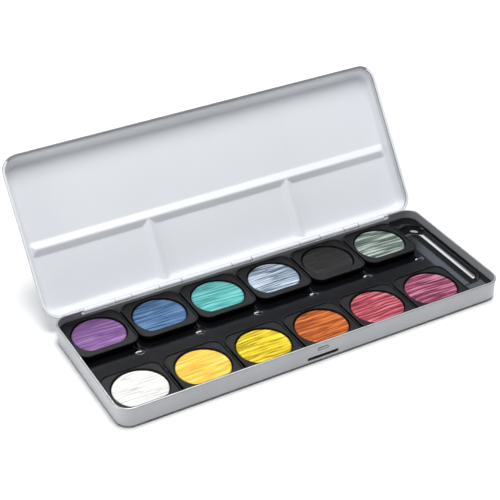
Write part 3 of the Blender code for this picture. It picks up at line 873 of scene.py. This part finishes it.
def pan_mesh():
    n = 144
    angles = np.arange(n) * 2 * math.pi / n + math.pi / n

    def flange(offset):
        return polar(lambda x, y: sdf_rect(x, y, FLANGE_X, FLANGE_Y, FLANGE_CORNER), offset, angles)

    def body(offset, taper):
        return polar(lambda x, y: sdf_rect(x / taper, y / taper, BODY_X, BODY_Y, BODY_CORNER), offset, angles)

    def well(radius, offset):
        return polar(lambda x, y: sdf_well(x, y, radius, WELL_CHORD - (WELL_R - radius), 1.6), offset, angles)

    rows = []
    add = lambda radii, z: rows.append((radii, z))
    add(body(-2.0, 0.94), PAN_FLOOR)
    for k in range(5):
        a = math.radians(90 * k / 4)
        add(body(-0.8 + 0.8 * math.sin(a), 0.94), PAN_FLOOR + 0.8 - 0.8 * math.cos(a))
    add(body(0, 0.992), FLANGE_TOP - FLANGE_THICK - 0.25)
    add(body(0.2, 1.0), FLANGE_TOP - FLANGE_THICK)
    under = FLANGE_TOP - FLANGE_THICK
    for k in range(4):
        a = math.radians(90 * k / 3)
        add(flange(-0.25 + 0.25 * math.sin(a)), under + 0.25 - 0.25 * math.cos(a))
    for k in range(7):
        a = math.radians(90 * k / 6)
        add(flange(-0.5 + 0.5 * math.cos(a)), FLANGE_TOP - 0.5 + 0.5 * math.sin(a))
    # A raised lip runs round the flange; the flat inside it lies lower.
    flat = FLANGE_TOP - LIP_DROP
    add(flange(-0.62), FLANGE_TOP)
    for inset, share in ((0.72, 0.03), (0.84, 0.18), (1.0, 0.5), (1.14, 0.82), (1.28, 0.97), (1.42, 1.0)):
        add(flange(-inset), FLANGE_TOP - LIP_DROP * share)
    lip = 0.35
    add(well(WELL_R, lip + 0.08), flat)
    for k in range(6):
        a = math.radians(90 * k / 5)
        add(well(WELL_R, lip - lip * math.sin(a)), flat - lip + lip * math.cos(a))
    for k in range(1, 5):
        t = k / 4
        add(well(WELL_R + (WELL_R_LOW - WELL_R) * t, 0), (flat - lip) + (WELL_FLOOR + 0.5 - flat + lip) * t)
    for k in range(1, 4):
        a = math.radians(90 * k / 3)
        add(well(WELL_R_LOW, -0.5 + 0.5 * math.cos(a)), WELL_FLOOR + 0.5 - 0.5 * math.sin(a))
    shell = Shell()
    rings = [
        shell.ring([(r * math.cos(a), r * math.sin(a), z) for r, a in zip(radii, angles)]) for radii, z in rows
    ]
    shell.grid(rings)
    shell.fan(rings[0], (0, 0, PAN_FLOOR))
    shell.fan(rings[-1], (0, 0, WELL_FLOOR))
    obj = shell.make("pan_pattern", [PAN], angle=45)
    mesh = obj.data
    bpy.data.objects.remove(obj)
    return mesh


def stroke_field(x, y, seed, strong):
    """Relief of paint drawn out with a stiff brush along the long side: 0 in the creases, 1 on the crests."""
    tilt = math.radians(3.0 * (hashed(np.array([seed]), np.array([3]), 11)[0] - 0.5))
    u = x * math.cos(tilt) + y * math.sin(tilt)
    v = -x * math.sin(tilt) + y * math.cos(tilt)
    v = v + 0.85 * noise2(u / 24.0, v / 11.0, seed + 1) + 0.14 * noise2(u / 8.0, v / 3.5, seed + 2)
    coarse = noise2(u / 30.0, v / 1.50, seed + 3)
    middle = noise2(u / 18.0, v / 0.80, seed + 4)
    fine = noise2(u / 12.0, v / 0.50, seed + 5)
    patch = noise2(u / 14.0, v / 5.0, seed + 6)
    crease = np.exp(-(((coarse + 0.12) / 0.11) ** 2)) * np.clip(0.70 + 1.1 * patch, 0.0, 1.2)
    small = np.exp(-(((middle - 0.05) / 0.12) ** 2)) * np.clip(0.40 - 0.9 * patch, 0.0, 1.0)
    value = 0.57 + 0.34 * coarse + 0.24 * middle + 0.13 * fine - 0.42 * crease - 0.28 * small
    return np.clip(value, 0.0, 1.0) if strong else value


def make_cake(name, x0, y0, seed):
    n, m = 336, 72
    angles = np.arange(n) * 2 * math.pi / n + math.pi / n
    gap = 0.60
    top_r = WELL_R - gap

    def outline(radius, offset):
        return polar(lambda x, y: sdf_well(x, y, radius, WELL_CHORD - gap - (WELL_R - gap - radius), 1.4), offset, angles)

    crease, body, crest, metallic, strength = PAINTS[name]
    shell = Shell()
    rings, reliefs = [], []
    low_r = WELL_R_LOW - gap
    for r, z in ((outline(low_r, 0), 3.3), (outline(top_r - 0.12, 0), CAKE_TOP - 1.5)):
        rings.append(shell.ring([(a * math.cos(t), a * math.sin(t), z) for a, t in zip(r, angles)]))
        reliefs.append(np.full(n, 0.4))
    edge = outline(top_r, 0)
    shoulder = 0.95
    cos, sin = np.cos(angles), np.sin(angles)
    for k in range(m):
        t = k / m
        radii = edge * (1 - t ** 1.0)
        x, y = radii * cos, radii * sin
        inside = np.maximum(-sdf_well(x, y, top_r, WELL_CHORD - gap, 1.4), 0.0)
        fall = np.clip(inside / shoulder, 0, 1)
        rounding = 0.70 * (1 - np.sqrt(np.clip(1 - (1 - fall) ** 2, 0, 1)))
        field = stroke_field(x, y, seed, strength > 0.7)
        amplitude = (0.16 + 0.42 * strength) * np.clip(inside / 0.9, 0.25, 1.0)
        z = CAKE_TOP - 0.62 - rounding + amplitude * (field - 0.55)
        z += 0.22 * noise2(x / 9.0, y / 9.0, seed + 9) * np.clip(inside / 2.0, 0, 1)
        rings.append(shell.ring(np.stack([x, y, z], 1)))
        # The relief value picks the colour in paint(), with its painted shade in the creases and its painted sheen on
        # the crests.
        reliefs.append(np.clip(field, 0, 1) * (0.45 + 0.55 * strength) + 0.5 * (0.55 - 0.55 * strength))
    shell.grid(rings)
    centre = float(stroke_field(np.array([0.0]), np.array([0.0]), seed, strength > 0.7)[0])
    shell.fan(rings[0], (0, 0, 3.3))
    shell.fan(rings[-1], (0, 0, CAKE_TOP - 0.62 + (0.16 + 0.42 * strength) * (centre - 0.55) + 0.22 * float(noise2(np.array([0.0]), np.array([0.0]), seed + 9)[0])))
    values = np.concatenate(reliefs + [np.array([0.4]), np.array([np.clip(centre, 0, 1) * (0.45 + 0.55 * strength) + 0.5 * (0.55 - 0.55 * strength)])])
    mesh = bpy.data.meshes.new("cake_surface_" + name)
    mesh.from_pydata([((x + x0) * MM, (y + y0) * MM, z * MM) for x, y, z in shell.points], [], shell.faces)
    mesh.materials.append(paint(name))
    bm = bmesh.new()
    bm.from_mesh(mesh)
    bmesh.ops.recalc_face_normals(bm, faces=bm.faces)
    bm.to_mesh(mesh)
    bm.free()
    attribute = mesh.attributes.new("relief", "FLOAT", "POINT")
    attribute.data.foreach_set("value", values.astype(np.float32))
    return finish_mesh("paint_cake_" + name, mesh, angle=75, weighted=False)


# ----------------------------------------------------------------------------------
# Assembly
# ----------------------------------------------------------------------------------
base = make_base()
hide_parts("base_tin")
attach(base, "tin")
knuckles = make_base_knuckles()
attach(knuckles, "tin")
pin = make_pin()
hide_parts("hinge_pin")
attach(pin, "tin")
lid = make_lid()
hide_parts("lid")
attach(lid, "lid_body")
lid_tubes = make_lid_knuckles()
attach(lid_tubes, "lid_body")
insert = make_insert()
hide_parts("insert_tray")
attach(insert, "tin")

pattern = pan_mesh()
for index, ((px, py), colour) in enumerate(zip(pan_places(), COLOURS)):
    body_name = f"pan_{index + 1:02d}_filled"
    pan = bpy.data.objects.new(f"pan_shell_{index + 1:02d}", pattern)
    bpy.context.scene.collection.objects.link(pan)
    flats = pan.modifiers.new("flats", "WEIGHTED_NORMAL")
    flats.mode, flats.keep_sharp = "FACE_AREA", True
    pan.location = (px * MM, py * MM, 0)
    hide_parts(f"pan_{index + 1:02d}")
    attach(pan, body_name)
    cake = make_cake(colour, px, py, 40 + 17 * index)
    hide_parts("cake_" + colour)
    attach(cake, body_name)

for helper in HELPERS:
    bpy.data.objects.remove(helper, do_unlink=True)


# ----------------------------------------------------------------------------------
# Floor, light and camera
# ----------------------------------------------------------------------------------
def make_floor():
    bm = bmesh.new()
    bmesh.ops.create_grid(bm, x_segments=8, y_segments=8, size=6.0)
    mesh = bpy.data.meshes.new("floor")
    bm.to_mesh(mesh)
    bm.free()
    floor = bpy.data.objects.new("floor", mesh)
    floor.location = (0, 0, -0.00005)
    bpy.context.scene.collection.objects.link(floor)
    g = Graph("floor")
    g.link(g.ramp(g.noise(3.0, 2.0), [(0.3, (0.90, 0.90, 0.90)), (0.7, (0.92, 0.92, 0.92))]), g.shader.inputs["Base Color"])
    g.set(Roughness=0.9, Specular_IOR_Level=0.1)
    mesh.materials.append(g.material)


def area_light(name, place, target, size, power, shape=None, colour=(1.0, 1.0, 1.0)):
    light = bpy.data.lights.new(name, "AREA")
    light.energy = power
    light.color = colour
    if shape:
        light.shape = "RECTANGLE"
        light.size, light.size_y = shape
    else:
        light.size = size
    obj = bpy.data.objects.new(name, light)
    obj.location = place
    obj.rotation_euler = (Vector(target) - Vector(place)).to_track_quat("-Z", "Y").to_euler()
    bpy.context.scene.collection.objects.link(obj)
    return obj


def make_light():
    world = bpy.data.worlds.new("studio")
    world.use_nodes = True
    background = world.node_tree.nodes["Background"]
    background.inputs["Color"].default_value = (0.95, 0.975, 1.0, 1.0)
    background.inputs["Strength"].default_value = 0.20
    bpy.context.scene.world = world
    sun = bpy.data.lights.new("overhead", "SUN")
    sun.energy = 3.0
    sun.angle = math.radians(34)
    lamp = bpy.data.objects.new("overhead", sun)
    lamp.rotation_euler = (-Vector((0.07, -0.06, 1.0))).to_track_quat("-Z", "Y").to_euler()
    bpy.context.scene.collection.objects.link(lamp)
    # A broad panel at the right, a bright box behind with a dim wing at each side, and a low fill at the left.
    area_light("right_panel", (2.20, 1.31, 1.76), (0, 0, 0), 0.5, 10.5, (1.7, 1.1), (0.76, 0.84, 1.0))
    area_light("back_box", (0.66, 2.65, 2.98), (0.117, 0, 0), 0.5, 48.0, (1.6, 0.60))
    area_light("back_wing_left", (-0.557, 2.618, 3.026), (0.117, 0, 0), 0.5, 11.7, (1.9, 0.56), (0.84, 0.90, 1.0))
    area_light("back_wing_right", (1.609, 2.478, 2.755), (0.117, 0, 0), 0.5, 2.8, (0.85, 0.45), (0.76, 0.84, 1.0))
    area_light("left_fill", (-1.12, 0.06, 0.19), (0, 0, 0.01), 0.5, 5.2, (0.7, 0.24))


def make_camera():
    azimuth, elevation = math.radians(-29.255), math.radians(33.726)
    back = Vector(
        (math.sin(azimuth) * math.cos(elevation), -math.cos(azimuth) * math.cos(elevation), math.sin(elevation))
    )
    camera = bpy.data.cameras.new("camera")
    camera.sensor_width = 36.0
    camera.lens = 96.77
    camera.shift_x, camera.shift_y = -0.0033, 0.0063
    camera.clip_start, camera.clip_end = 0.05, 30.0
    obj = bpy.data.objects.new("camera", camera)
    obj.location = (-0.31993, -0.53628, 0.46124)
    obj.rotation_euler = (-back).to_track_quat("-Z", "Y").to_euler()
    bpy.context.scene.collection.objects.link(obj)
    bpy.context.scene.camera = obj


make_floor()
make_light()
make_camera()
bpy.context.scene.view_settings.view_transform = "Standard"
